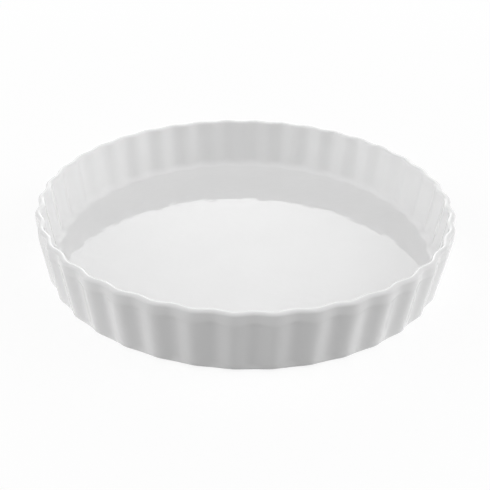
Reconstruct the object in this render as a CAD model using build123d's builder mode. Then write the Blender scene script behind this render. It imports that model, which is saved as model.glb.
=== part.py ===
from build123d import *
import os
from math import cos, pi, radians, sin, tan

# Fluted quiche dish: one piece of white porcelain, pressed with a fluted wall,
# glazed all over except on the ring that it stands on.
# Millimetres. The origin is the centre of the ring that the dish rests on,
# +Z points up through the open mouth, and a flute crest lies on +X.

# Main sizes
rim_diameter = 280.0
dish_height = 44.0
flute_count = 38
flute_depth = 1.8

# Wall: its thickness, its lean from upright in degrees, and the plain band that
# stands proud of the flutes just under the lip
wall_thickness = 4.2
wall_lean = 8.2
rim_band_height = 8.5
rim_band_step = 0.5

# Floor, and the curves that join it to the wall inside and outside
floor_thickness = 6.0
cove_radius = 5.2
base_rounding = 3.0

# Foot ring under the wall, and the shallow recess inside it
foot_width = 5.0
foot_bevel = 0.4
recess_depth = 2.0

# Glaze patch in the recess, wiped back from the bare foot ring
glaze_thickness = 0.3
wiped_margin = 1.0

# Cutting tools run past the solid by this much
overrun = 2.0

# Share of the flute depth that is left at the floor and at the base: the floor's
# edge is scalloped, the base is a plain circle, and in between the depth grows with
# this power of the way up
floor_flute_share = 0.85
base_flute_share = 0.0
fading_power = 2

# Flat strips that make up the half-round lip and each of the two quarter-round joins,
# and the points that draw one flute
lip_strips = 7
join_strips = 3
points_per_flute = 6

os.makedirs("parts", exist_ok=True)

# Sizes that follow from the ones above
lean = radians(wall_lean)
lip_radius = wall_thickness / 2
outer_radius = rim_diameter / 2 - flute_depth / 2
lip_center_radius = outer_radius - lip_radius
lip_turn = pi / lip_strips
lip_center_height = dish_height - lip_radius * cos(lip_turn / 2)
crease_height = dish_height - rim_band_height
wall_top_height = crease_height - rim_band_step
wall_top_radius = outer_radius - rim_band_step
inner_wall_top_radius = wall_top_radius - wall_thickness
floor_height = recess_depth + floor_thickness


def wave_points(mean_radius, depth):
    """Points once round the dish, on the wave of crests and valleys at one level."""
    points = []
    point_count = flute_count * points_per_flute
    for point in range(point_count):
        angle = 2 * pi * point / point_count
        radius = mean_radius + depth / 2 * cos(flute_count * angle)
        points.append((radius * cos(angle), radius * sin(angle)))
    return points


def round_join(wall_radius, wall_height, flat_height, bend_radius, flat_flute_share):
    """Levels of the curve that joins a flat base to the leaning wall above it.

    The wall passes through wall_radius at wall_height. The levels run upwards from
    the flat, each as (height, mean radius, flute depth), and the flutes deepen from
    the given share of their depth to the whole.
    """
    tangent_height = flat_height + bend_radius * (1 - sin(lean))
    tangent_radius = wall_radius - (wall_height - tangent_height) * tan(lean)
    center_radius = tangent_radius - bend_radius * cos(lean)
    center_height = flat_height + bend_radius
    levels = []
    for step in range(join_strips + 1):
        share = step / join_strips
        angle = pi / 2 - (pi / 2 - lean) * share
        height = center_height - bend_radius * sin(angle)
        radius = center_radius + bend_radius * cos(angle)
        depth_share = flat_flute_share + (1 - flat_flute_share) * share**fading_power
        levels.append((height, radius, flute_depth * depth_share))
    return levels


def half_lip(side):
    """Levels of one side of the rounded lip, upwards: side is 1 outside, -1 inside."""
    levels = []
    for step in range(lip_strips // 2 + 1):
        angle = step * lip_turn
        height = lip_center_height + lip_radius * sin(angle)
        radius = lip_center_radius + side * lip_radius * cos(angle)
        levels.append((height, radius, flute_depth))
    return levels


# Outside of the dish, from the base up to the flat top of the lip
outer_levels = round_join(wall_top_radius, wall_top_height, 0, base_rounding, base_flute_share)
outer_levels.append((wall_top_height, wall_top_radius, flute_depth))
outer_levels.append((crease_height, outer_radius, flute_depth))
outer_levels.extend(half_lip(1))

# Inside of the dish, from the floor up through the lip: the wall keeps its thickness,
# and turns more upright behind the rim band
cavity_levels = round_join(
    inner_wall_top_radius, wall_top_height, floor_height, cove_radius, floor_flute_share
)
cavity_levels.append((wall_top_height, inner_wall_top_radius, flute_depth))
cavity_levels.extend(half_lip(-1))
mouth_radius = cavity_levels[-1][1]
cavity_levels.append((dish_height + overrun, mouth_radius, flute_depth))

# Recess, whose edge is the inside of the foot ring
base_radius = outer_levels[0][1] - flute_depth * base_flute_share / 2
recess_radius = base_radius - foot_width

# Porcelain body: fluted wall, floor and foot ring in one
with BuildPart() as porcelain_body:
    for height, mean_radius, depth in outer_levels:
        with BuildSketch(Plane.XY.offset(height)):
            with BuildLine():
                Spline(*wave_points(mean_radius, depth), periodic=True)
            make_face()
    loft(ruled=True)
    for height, mean_radius, depth in cavity_levels:
        with BuildSketch(Plane.XY.offset(height)):
            with BuildLine():
                Spline(*wave_points(mean_radius, depth), periodic=True)
            make_face()
    loft(ruled=True, mode=Mode.SUBTRACT)
    # Recess under the floor, bevelled at its mouth, which leaves the foot ring
    with BuildSketch(Plane.XY):
        Circle(recess_radius)
    extrude(amount=recess_depth, mode=Mode.SUBTRACT)
    recess_mouth = porcelain_body.edges().filter_by(GeomType.CIRCLE).group_by(Axis.Z)[0]
    chamfer(recess_mouth, foot_bevel)
porcelain_body.part.label = "porcelain_body"
export_step(porcelain_body.part, "parts/porcelain_body.step")

# Glaze patch under the floor, inside the bare ring
with BuildPart() as base_glaze:
    with BuildSketch(Plane.XY.offset(recess_depth)):
        Circle(recess_radius - wiped_margin)
    extrude(amount=-glaze_thickness)
base_glaze.part.label = "base_glaze"
export_step(base_glaze.part, "parts/base_glaze.step")
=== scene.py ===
from math import cos, pi, radians, sin, tan

import bpy
from mathutils import Matrix, Vector


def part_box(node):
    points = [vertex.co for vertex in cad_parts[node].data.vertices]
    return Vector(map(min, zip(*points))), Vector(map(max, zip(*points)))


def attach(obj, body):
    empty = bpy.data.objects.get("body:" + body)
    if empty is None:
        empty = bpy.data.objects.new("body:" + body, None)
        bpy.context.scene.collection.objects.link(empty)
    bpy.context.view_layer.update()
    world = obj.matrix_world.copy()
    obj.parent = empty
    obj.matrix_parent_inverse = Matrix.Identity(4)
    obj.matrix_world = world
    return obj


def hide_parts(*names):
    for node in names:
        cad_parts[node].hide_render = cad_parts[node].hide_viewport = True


# Fluted quiche dish: one piece of white glazed porcelain on a plain white studio floor.
# Metres throughout; sizes below are written in millimetres times MM.

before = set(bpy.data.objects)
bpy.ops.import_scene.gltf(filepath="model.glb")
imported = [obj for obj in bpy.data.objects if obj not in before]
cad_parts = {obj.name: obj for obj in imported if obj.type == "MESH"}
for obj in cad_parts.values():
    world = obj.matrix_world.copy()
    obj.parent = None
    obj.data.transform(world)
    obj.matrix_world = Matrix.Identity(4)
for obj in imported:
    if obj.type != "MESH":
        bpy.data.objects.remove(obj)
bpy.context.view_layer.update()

MM = 0.001

# Sizes read from the frame
rim_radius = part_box("porcelain_body")[1].x
dish_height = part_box("porcelain_body")[1].z
recess_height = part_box("base_glaze")[1].z
patch_low_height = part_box("base_glaze")[0].z
patch_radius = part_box("base_glaze")[1].x

# Flutes, deepest on the outside below the band, which fade out at the base
flute_count = 38
flute_depth = 1.8 * MM
band_flute_depth = 1.9 * MM
wall_flute_depth = 2.5 * MM
floor_flute_share = 0.85
base_flute_share = 0.0
fading_power = 2
columns_per_flute = 20

# Wall, and the plain band under the lip
lip_drop = 0.6 * MM
wall_thickness = 4.2 * MM
wall_lean = radians(8.2)
rim_band_height = 7.9 * MM
rim_band_step = 0.35 * MM
crease_softness = 4.5 * MM
inner_turn_softness = 6 * MM

# Floor, joins, foot ring and recess
floor_thickness = 5.4 * MM
cove_radius = 5.2 * MM
base_rounding = 3.0 * MM
foot_rounding = 0.4 * MM
wiped_margin = 1.0 * MM
bare_height = 0.15 * MM

# Steps that divide each stretch of the profile
lip_steps = 20
join_steps = 12
wall_steps = 10
crease_steps = 10
rounding_steps = 4
floor_ring_gap = 12 * MM
floor_edge_gap = 0.5 * MM

# Rings inside this share of the outer radius have half the columns, and inside half of
# it a quarter, and so on
halving_share = 0.9

# Rounding of the glaze patch's edge, as a share of the patch's thickness
patch_edge_share = 0.8

# Sizes that follow
lip_radius = wall_thickness / 2
outer_radius = rim_radius - flute_depth / 2
lip_center_radius = outer_radius - lip_radius
lip_height = dish_height - lip_drop
lip_center_height = lip_height - lip_radius
crease_height = lip_height - rim_band_height
wall_top_height = crease_height - rim_band_step
wall_top_radius = outer_radius - rim_band_step
inner_wall_top_radius = wall_top_radius - wall_thickness
inner_rim_radius = outer_radius - wall_thickness
floor_height = recess_height + floor_thickness
recess_radius = patch_radius + wiped_margin
column_count = flute_count * columns_per_flute


# Profile of the dish, as stations of (mean radius, height, flute depth)

def smooth(share):
    """Eases a share from 0 to 1 with level ends."""
    return share * share * (3 - 2 * share)


def line(start, end, steps):
    """Stations along a straight stretch, without its start."""
    stations = []
    for step in range(1, steps + 1):
        share = step / steps
        stations.append(tuple(a + (b - a) * share for a, b in zip(start, end)))
    return stations


def arc(center, radius, start_angle, end_angle, steps, depth):
    """Stations along an arc, with both ends; angles run from outwards towards up."""
    stations = []
    for step in range(steps + 1):
        angle = start_angle + (end_angle - start_angle) * step / steps
        stations.append((center[0] + radius * cos(angle), center[1] + radius * sin(angle), depth))
    return stations


def join(wall_radius, flat_height, bend_radius, depth, flat_flute_share):
    """Curve from a flat base up into the leaning wall, whose top is at the given radius."""
    tangent_height = flat_height + bend_radius * (1 - sin(wall_lean))
    tangent_radius = wall_radius - (wall_top_height - tangent_height) * tan(wall_lean)
    center = (tangent_radius - bend_radius * cos(wall_lean), flat_height + bend_radius)
    stations = []
    plain = arc(center, bend_radius, -pi / 2, -wall_lean, join_steps, depth)
    for step, (radius, height, full) in enumerate(plain):
        share = (step / join_steps) ** fading_power
        stations.append((radius, height, full * (flat_flute_share + (1 - flat_flute_share) * share)))
    return stations


def outer_wall_radius(height):
    """Mean radius of the leaning outer wall, carried on past the crease."""
    return wall_top_radius - (wall_top_height - height) * tan(wall_lean)


def crease():
    """Stations up through the soft step from the wall to the rim band."""
    low = crease_height - rim_band_step / 2 - crease_softness / 2
    stations = []
    for step in range(crease_steps + 1):
        share = step / crease_steps
        height = low + crease_softness * share
        wall = outer_wall_radius(height)
        radius = wall + (outer_radius - wall) * smooth(share)
        depth = wall_flute_depth + (band_flute_depth - wall_flute_depth) * smooth(share)
        stations.append((radius, height, depth))
    return stations


def inner_turn():
    """Stations up round the soft turn where the inner wall grows more upright."""
    half = inner_turn_softness / 2
    corner = (inner_wall_top_radius, wall_top_height)
    low = (corner[0] - half * tan(wall_lean), corner[1] - half)
    band_slope = (inner_rim_radius - corner[0]) / (lip_center_height - corner[1])
    high = (corner[0] + half * band_slope, corner[1] + half)
    stations = []
    for step in range(crease_steps + 1):
        share = step / crease_steps
        weights = ((1 - share) ** 2, 2 * share * (1 - share), share ** 2)
        radius = sum(w * p[0] for w, p in zip(weights, (low, corner, high)))
        height = sum(w * p[1] for w, p in zip(weights, (low, corner, high)))
        stations.append((radius, height, flute_depth))
    return stations


def dish_profile():
    """The whole section, from the middle of the floor over the lip and under to the recess."""
    cove = join(inner_wall_top_radius, floor_height, cove_radius, flute_depth, floor_flute_share)
    turn = inner_turn()
    lip_center = (lip_center_radius, lip_center_height)
    lip = arc(lip_center, lip_radius, pi, 0, lip_steps, flute_depth)
    base = join(wall_top_radius, 0, base_rounding, wall_flute_depth, base_flute_share)
    step_up = crease()

    stations = []
    floor_rings = round(cove[0][0] / floor_ring_gap)
    for ring in range(1, floor_rings):
        stations.append((cove[0][0] * ring / floor_rings, floor_height, 0.0))
    stations.append((cove[0][0] - cove[0][2] / 2 - floor_edge_gap, floor_height, 0.0))
    stations.extend(cove)
    stations.extend(line(cove[-1], turn[0], wall_steps)[:-1])
    stations.extend(turn)
    stations.extend(line(turn[-1], lip[0], wall_steps)[:-1])
    stations.extend(lip)
    stations.extend(line(lip[-1], step_up[-1], wall_steps)[:-1])
    stations.extend(reversed(step_up))
    stations.extend(line(step_up[0], base[-1], wall_steps)[:-1])
    stations.extend(reversed(base))
    stations.extend(recess_profile())
    return stations


def recess_profile():
    """The ring's bearing face, and the recess inside it with rounded corners."""
    turn = foot_rounding
    stations = arc((recess_radius + turn, turn), turn, -pi / 2, -pi, rounding_steps, 0.0)
    high = recess_height - turn
    stations.extend(arc((recess_radius - turn, high), turn, 0, pi / 2, rounding_steps, 0.0))
    rings = round(recess_radius / floor_ring_gap)
    for ring in range(rings - 1, 0, -1):
        stations.append((recess_radius * ring / rings, recess_height, 0.0))
    return stations


# Mesh building

def ring_points(radius, height, depth, count):
    """One ring of points on the wave of crests and valleys."""
    points = []
    for column in range(count):
        angle = 2 * pi * column / count
        reach = radius + depth / 2 * cos(flute_count * angle)
        points.append((reach * cos(angle), reach * sin(angle), height))
    return points


def ring_count(radius, fine_radius):
    """Columns in a ring: fewer towards the axis, halved each time."""
    count = column_count
    while count % 2 == 0 and count > flute_count:
        if radius >= fine_radius * count / column_count * halving_share:
            break
        count //= 2
    return count


def bridge(first, second, faces):
    """Faces between two rings of equal counts, or of which one has twice the other's."""
    few = min(len(first), len(second))
    for i in range(few):
        j = (i + 1) % few
        if len(first) == len(second):
            faces.append((first[i], second[i], second[j], first[j]))
        elif len(second) > len(first):
            middle = second[2 * i + 1]
            faces.append((first[i], second[2 * i], middle))
            faces.append((first[i], middle, first[j]))
            faces.append((first[j], middle, second[2 * j]))
        else:
            middle = first[2 * i + 1]
            faces.append((first[2 * i], second[i], middle))
            faces.append((middle, second[i], second[j]))
            faces.append((middle, second[j], first[2 * j]))


def turned_mesh(name, stations):
    """A closed fluted mesh from a profile that starts and ends near the axis."""
    fine_radius = max(radius for radius, height, depth in stations)
    vertices = [(0, 0, stations[0][1])]
    rings = []
    for radius, height, depth in stations:
        points = ring_points(radius, height, depth, ring_count(radius, fine_radius))
        rings.append(list(range(len(vertices), len(vertices) + len(points))))
        vertices.extend(points)
    vertices.append((0, 0, stations[-1][1]))
    faces = []
    for i, point in enumerate(rings[0]):
        faces.append((0, point, rings[0][(i + 1) % len(rings[0])]))
    for first, second in zip(rings, rings[1:]):
        bridge(first, second, faces)
    last = len(vertices) - 1
    for i, point in enumerate(rings[-1]):
        faces.append((last, rings[-1][(i + 1) % len(rings[-1])], point))
    mesh = bpy.data.meshes.new(name)
    mesh.from_pydata(vertices, [], faces)
    mesh.update()
    mesh.shade_smooth()
    piece = bpy.data.objects.new(name, mesh)
    bpy.context.scene.collection.objects.link(piece)
    return piece


def make_dish():
    """Porcelain body: fluted wall, floor and foot ring in one."""
    dish = turned_mesh("porcelain_dish", dish_profile())
    dish.data.materials.append(glaze_material("white_glaze", dish_white))
    dish.data.materials.append(bare_porcelain_material())
    for face in dish.data.polygons:
        top = max(dish.data.vertices[v].co.z for v in face.vertices)
        if top < bare_height:
            face.material_index = 1
    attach(dish, "root")
    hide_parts("porcelain_body")
    return dish


def make_base_patch():
    """Glaze patch in the recess, with a rounded edge."""
    edge = (recess_height - patch_low_height) * patch_edge_share
    bend = arc((patch_radius - edge, patch_low_height + edge), edge, 0, -pi / 2, rounding_steps, 0)
    stations = []
    rings = round(patch_radius / floor_ring_gap)
    for ring in range(1, rings):
        stations.append((patch_radius * ring / rings, recess_height, 0.0))
    stations.append((patch_radius, recess_height, 0.0))
    stations.extend(bend)
    for ring in range(rings - 1, 0, -1):
        stations.append((patch_radius * ring / rings, patch_low_height, 0.0))
    patch = turned_mesh("recess_glaze", stations)
    patch.data.materials.append(glaze_material("recess_glaze", recess_white))
    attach(patch, "root")
    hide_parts("base_glaze")
    return patch


# Materials: noise scales are in patches per metre

# Glaze, cloudy, slightly smeared, and uneven in waves, ripples and an orange peel
dish_white = (0.9, 0.9, 0.9)
recess_white = (0.86, 0.86, 0.86)
glaze_ior = 1.55
cloud_scale = 22
cloud_detail = 3
cloud_dark = 0.985
cloud_light = 1.01
smear_scale = 60
smear_detail = 2
smear_roughness = 0.02
wave_scale = 45
wave_height = 0.015 * MM
ripple_scale = 125
ripple_height = 0.13 * MM
peel_scale = 420
peel_height = 0.001 * MM
relief_detail = 1

# Bare porcelain
clay_dark = (0.66, 0.64, 0.61)
clay_light = (0.76, 0.745, 0.72)
clay_smoothest = 0.6
clay_roughest = 0.8
grain_scale = 1500
grain_detail = 4
grain_height = 0.03 * MM

# Between these lie most values of a noise
noise_low = 0.3
noise_high = 0.7


def new_material(name):
    """A material with its nodes, its links and its shader."""
    material = bpy.data.materials.new(name)
    material.use_nodes = True
    nodes = material.node_tree.nodes
    return material, nodes, material.node_tree.links, nodes["Principled BSDF"]


def noise(nodes, links, coordinates, scale, detail):
    """A cloudy pattern fixed to the piece."""
    texture = nodes.new("ShaderNodeTexNoise")
    texture.inputs["Scale"].default_value = scale
    texture.inputs["Detail"].default_value = detail
    links.new(coordinates, texture.inputs["Vector"])
    return texture.outputs["Fac"]


def spread(nodes, links, value, low, high):
    """Maps a noise, which stays near its middle, onto a range."""
    mapped = nodes.new("ShaderNodeMapRange")
    mapped.inputs["From Min"].default_value = noise_low
    mapped.inputs["From Max"].default_value = noise_high
    mapped.inputs["To Min"].default_value = low
    mapped.inputs["To Max"].default_value = high
    links.new(value, mapped.inputs["Value"])
    return mapped.outputs["Result"]


def tinted(nodes, links, value, low_color, high_color):
    """A colour between two, by a share."""
    mixed = nodes.new("ShaderNodeMix")
    mixed.data_type = "RGBA"
    mixed.inputs["A"].default_value = (*low_color, 1)
    mixed.inputs["B"].default_value = (*high_color, 1)
    links.new(value, mixed.inputs["Factor"])
    return mixed.outputs["Result"]


def bump(nodes, links, height, distance, below=None):
    """Fine relief, laid over a coarser one where there is one below."""
    relief = nodes.new("ShaderNodeBump")
    relief.inputs["Strength"].default_value = 1.0
    relief.inputs["Distance"].default_value = distance
    links.new(height, relief.inputs["Height"])
    if below:
        links.new(below, relief.inputs["Normal"])
    return relief.outputs["Normal"]


def glaze_material(name, color):
    """White gloss glaze, faintly uneven in colour, gloss and relief."""
    material, nodes, links, shader = new_material(name)
    coordinates = nodes.new("ShaderNodeTexCoord").outputs["Object"]
    cloud = spread(nodes, links, noise(nodes, links, coordinates, cloud_scale, cloud_detail), 0, 1)
    darker = tuple(channel * cloud_dark for channel in color)
    lighter = tuple(channel * cloud_light for channel in color)
    links.new(tinted(nodes, links, cloud, darker, lighter), shader.inputs["Base Color"])
    smear = noise(nodes, links, coordinates, smear_scale, smear_detail)
    links.new(spread(nodes, links, smear, 0.0, smear_roughness), shader.inputs["Roughness"])
    wave = noise(nodes, links, coordinates, wave_scale, relief_detail)
    relief = bump(nodes, links, wave, wave_height)
    ripple = noise(nodes, links, coordinates, ripple_scale, relief_detail)
    relief = bump(nodes, links, ripple, ripple_height, relief)
    peel = noise(nodes, links, coordinates, peel_scale, relief_detail)
    relief = bump(nodes, links, peel, peel_height, relief)
    links.new(relief, shader.inputs["Normal"])
    shader.inputs["IOR"].default_value = glaze_ior
    return material


def bare_porcelain_material():
    """Unglazed ring that the dish stands on: dull, fine-grained and faintly warm."""
    material, nodes, links, shader = new_material("bare_porcelain")
    coordinates = nodes.new("ShaderNodeTexCoord").outputs["Object"]
    grain = spread(nodes, links, noise(nodes, links, coordinates, grain_scale, grain_detail), 0, 1)
    links.new(tinted(nodes, links, grain, clay_dark, clay_light), shader.inputs["Base Color"])
    roughness = spread(nodes, links, grain, clay_smoothest, clay_roughest)
    links.new(roughness, shader.inputs["Roughness"])
    links.new(bump(nodes, links, grain, grain_height), shader.inputs["Normal"])
    return material


# Studio floor: its size, and how much light it throws back on the dish
stage_size = 8.0
floor_albedo = 0.44

# How the floor shows: the share of it that shadows dim, the light that falls on it in the
# open, and the distances from the axis between which it fades to plain white
shadow_share = 0.2
open_floor_light = 0.85
floor_near = 0.35
floor_far = 0.9

# Painted light: glow that the floor gives off beside the dish, in place of light bounced off a lit
# table; by azimuth, out to where it has faded
painted_side_glows = ((-88, 0.57), (86, 0.66))
glow_sharpness = 2
glow_near = 0.16
glow_far = 0.36


def math_node(nodes, links, operation, first, second):
    """The result of an operation on two values, each a number or a socket."""
    node = nodes.new("ShaderNodeMath")
    node.operation = operation
    for value, socket in ((first, node.inputs[0]), (second, node.inputs[1])):
        if isinstance(value, (int, float)):
            socket.default_value = value
        else:
            links.new(value, socket)
    return node.outputs[0]


def background_rays(nodes, links, path):
    """1 for the rays that show the background: to the camera, in gloss and through glass."""
    seen = math_node(nodes, links, "MAXIMUM", path["Is Camera Ray"], path["Is Glossy Ray"])
    return math_node(nodes, links, "MAXIMUM", seen, path["Is Transmission Ray"])


def fading(nodes, links, distance, near, far):
    """Share that rises from 0 to 1 between two distances from the dish's axis."""
    fade = nodes.new("ShaderNodeMapRange")
    fade.inputs["From Min"].default_value = near
    fade.inputs["From Max"].default_value = far
    links.new(distance, fade.inputs["Value"])
    return fade.outputs["Result"]


def painted_floor_glow(nodes, links, position, distance):
    """Painted light: glow that the floor gives off at the dish's sides, in place of the light that a
    lit table bounces.
    """
    total = 0.0
    for azimuth, radiance in painted_side_glows:
        turn = radians(azimuth)
        toward = nodes.new("ShaderNodeVectorMath")
        toward.operation = "DOT_PRODUCT"
        links.new(position, toward.inputs[0])
        toward.inputs[1].default_value = (sin(turn), cos(turn), 0)
        facing = math_node(nodes, links, "DIVIDE", toward.outputs["Value"], distance)
        facing = math_node(nodes, links, "MAXIMUM", facing, 0)
        glow = math_node(nodes, links, "POWER", facing, glow_sharpness)
        glow = math_node(nodes, links, "MULTIPLY", glow, radiance)
        total = math_node(nodes, links, "ADD", glow, total)
    gone = fading(nodes, links, distance, glow_near, glow_far)
    kept = math_node(nodes, links, "SUBTRACT", 1, gone)
    return math_node(nodes, links, "MULTIPLY", total, kept)


def floor_material():
    """Floor that lights the dish from below, by its diffuse light and a painted glow at the dish's
    sides, and shows as white with the dish's shadow.
    """
    material = bpy.data.materials.new("studio_floor")
    material.use_nodes = True
    nodes = material.node_tree.nodes
    links = material.node_tree.links
    nodes.clear()
    output = nodes.new("ShaderNodeOutputMaterial")
    position = nodes.new("ShaderNodeNewGeometry").outputs["Position"]
    length = nodes.new("ShaderNodeVectorMath")
    length.operation = "LENGTH"
    links.new(position, length.inputs[0])
    distance = length.outputs["Value"]

    lit = nodes.new("ShaderNodeBsdfDiffuse")
    lit.inputs["Color"].default_value = (floor_albedo, floor_albedo, floor_albedo, 1)
    # Painted light: the floor's glow beside the dish, seen by the rays that light the dish
    beside = nodes.new("ShaderNodeEmission")
    links.new(painted_floor_glow(nodes, links, position, distance), beside.inputs["Strength"])
    table = nodes.new("ShaderNodeAddShader")
    links.new(lit.outputs[0], table.inputs[0])
    links.new(beside.outputs[0], table.inputs[1])

    seen = nodes.new("ShaderNodeBsdfDiffuse")
    seen.inputs["Color"].default_value = (shadow_share, shadow_share, shadow_share, 1)
    glow = nodes.new("ShaderNodeEmission")
    glow.inputs["Strength"].default_value = 1 - shadow_share * open_floor_light
    near = nodes.new("ShaderNodeAddShader")
    links.new(seen.outputs[0], near.inputs[0])
    links.new(glow.outputs[0], near.inputs[1])
    white = nodes.new("ShaderNodeEmission")
    faded = nodes.new("ShaderNodeMixShader")
    links.new(fading(nodes, links, distance, floor_near, floor_far), faded.inputs["Fac"])
    links.new(near.outputs[0], faded.inputs[1])
    links.new(white.outputs[0], faded.inputs[2])

    path = nodes.new("ShaderNodeLightPath").outputs
    split = nodes.new("ShaderNodeMixShader")
    links.new(background_rays(nodes, links, path), split.inputs["Fac"])
    links.new(table.outputs[0], split.inputs[1])
    links.new(faded.outputs[0], split.inputs[2])
    links.new(split.outputs[0], output.inputs["Surface"])
    return material


def make_floor():
    """One large square under the dish."""
    mesh = bpy.data.meshes.new("studio_floor")
    half = stage_size / 2
    corners = [(-half, -half, 0), (half, -half, 0), (half, half, 0), (-half, half, 0)]
    mesh.from_pydata(corners, [], [(0, 1, 2, 3)])
    floor = bpy.data.objects.new("studio_floor", mesh)
    bpy.context.scene.collection.objects.link(floor)
    floor.data.materials.append(floor_material())


# Surroundings: the light that comes from all round, and the white that shows in the glaze
ambient = 0.1
ambient_shown = 1.0

# Soft lights in them: azimuth (0 behind the dish, 90 to its right), elevation, radiance
# at the middle, and the radiance that they add in the glaze
light_sharpness = 14
soft_lights = (
    (0, 10, 2.4, 1.9),
    (0, 32, 0.1, 0.4),
    (0, 65, 0.0, 2.4),
    (180, 55, 1.25, 0.0),
    (-88, 8, 2.1, 0.0),
    (-98, 30, 1.8, 0.0),
    (-115, 50, 0.7, 0.0),
    (86, 8, 2.85, 0.0),
    (92, 30, 1.1, 0.0),
    (114, 46, 1.4, 0.1),
)


def soft_light(nodes, links, direction, azimuth, elevation):
    """A soft glow in the surroundings, brightest at its middle."""
    turn = radians(azimuth)
    rise = radians(elevation)
    toward = nodes.new("ShaderNodeVectorMath")
    toward.operation = "DOT_PRODUCT"
    links.new(direction, toward.inputs[0])
    toward.inputs[1].default_value = (sin(turn) * cos(rise), cos(turn) * cos(rise), sin(rise))
    facing = math_node(nodes, links, "MAXIMUM", toward.outputs["Value"], 0)
    return math_node(nodes, links, "POWER", facing, light_sharpness)


def either(nodes, links, choice, first, second):
    """The first strength, or the second where the choice is 1."""
    mixed = nodes.new("ShaderNodeMix")
    mixed.data_type = "FLOAT"
    links.new(choice, mixed.inputs["Factor"])
    for value, socket in ((first, mixed.inputs["A"]), (second, mixed.inputs["B"])):
        if isinstance(value, (int, float)):
            socket.default_value = value
        else:
            links.new(value, socket)
    return mixed.outputs["Result"]


def make_world():
    """Soft lights on the dish; white to the camera and in glass, lights on white in gloss."""
    world = bpy.data.worlds.new("studio")
    bpy.context.scene.world = world
    world.use_nodes = True
    nodes = world.node_tree.nodes
    links = world.node_tree.links
    direction = nodes.new("ShaderNodeTexCoord").outputs["Generated"]
    lit = ambient
    mirrored = ambient_shown
    for azimuth, elevation, radiance, shown_radiance in soft_lights:
        glow = soft_light(nodes, links, direction, azimuth, elevation)
        lit = math_node(nodes, links, "ADD", math_node(nodes, links, "MULTIPLY", glow, radiance), lit)
        shown = math_node(nodes, links, "MULTIPLY", glow, shown_radiance)
        mirrored = math_node(nodes, links, "ADD", shown, mirrored)
    path = nodes.new("ShaderNodeLightPath").outputs
    plain = math_node(nodes, links, "MAXIMUM", path["Is Camera Ray"], path["Is Transmission Ray"])
    seen = either(nodes, links, plain, mirrored, 1)
    strength = either(nodes, links, background_rays(nodes, links, path), lit, seen)
    surroundings = nodes["Background"]
    surroundings.inputs["Color"].default_value = (1, 1, 1, 1)
    links.new(strength, surroundings.inputs["Strength"])


# Camera, fitted to the photographed outline; its place is measured from the rim's middle
camera_distance = 572.1 * MM
camera_turn = radians(-2.574)
camera_elevation = radians(26.83)
camera_look_down = radians(30.20)
camera_roll = radians(1.373)
focal_pixels = 841.1
image_pixels = 490
sensor_width = 36


def make_camera():
    """Camera turned about the dish, looking down past its middle."""
    data = bpy.data.cameras.new("camera")
    data.sensor_width = sensor_width
    data.lens = sensor_width * focal_pixels / image_pixels
    camera = bpy.data.objects.new("camera", data)
    bpy.context.scene.collection.objects.link(camera)
    back = camera_distance * cos(camera_elevation)
    rise = camera_distance * sin(camera_elevation)
    turn = Matrix.Rotation(camera_turn, 4, "Z")
    place = turn @ Vector((0, -back, dish_height + rise))
    tilt = Matrix.Rotation(pi / 2 - camera_look_down, 4, "X")
    roll = Matrix.Rotation(camera_roll, 4, "Z")
    camera.matrix_world = Matrix.Translation(place) @ turn @ tilt @ roll
    bpy.context.scene.camera = camera


make_dish()
make_base_patch()
make_floor()
make_world()
make_camera()
bpy.context.scene.view_settings.view_transform = "Standard"
